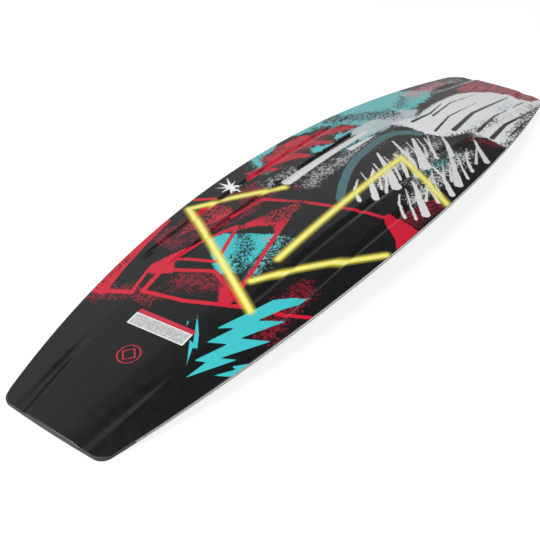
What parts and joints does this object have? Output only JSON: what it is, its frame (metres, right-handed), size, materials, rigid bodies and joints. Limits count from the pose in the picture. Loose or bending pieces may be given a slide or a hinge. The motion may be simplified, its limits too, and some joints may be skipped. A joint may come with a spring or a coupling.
{
  "type": "wakeboard",
  "caption": "Twin-tip wakeboard with squared tips, tip channels, grooved base, printed black base sheet and threaded boot inserts in the deck.",
  "frame": {"origin": "centre of the footprint, on the plane that the two tips' deck edges rest on", "axes": "+X towards the nose, +Y towards the toe-side rail, +Z out of the base, which faces up while the board lies on its deck"},
  "size_m": [1.39, 0.428, 0.0681],
  "materials": {
    "base_print": "gloss, printed in black, teal, red, yellow and pale grey",
    "deck_print": "satin",
    "glass_laminate": "satin",
    "core_foam": "matt",
    "stringer_wood": "matt",
    "rail_plastic": "satin",
    "plate_plastic": "matt",
    "insert_brass": "machined",
    "decal_film": "gloss"
  },
  "bodies": {
    "root": {"base_sheet": "base_print", "base_laminate": "glass_laminate", "deck_laminate": "glass_laminate", "core_centre": "core_foam", "core_toe_side": "core_foam", "core_heel_side": "core_foam", "stringer_toe_side": "stringer_wood", "stringer_heel_side": "stringer_wood", "deck_sheet": "deck_print", "sidewall_toe": "rail_plastic", "sidewall_heel": "rail_plastic", "nose_spacer": "rail_plastic", "tail_spacer": "rail_plastic", "insert_plate_rear_heel": "plate_plastic", "insert_plate_rear_toe": "plate_plastic", "insert_plate_front_heel": "plate_plastic", "insert_plate_front_toe": "plate_plastic", "inserts_rear_heel": "insert_brass", "inserts_rear_toe": "insert_brass", "inserts_front_heel": "insert_brass", "inserts_front_toe": "insert_brass", "decal": "decal_film"}
  },
  "joints": []
}
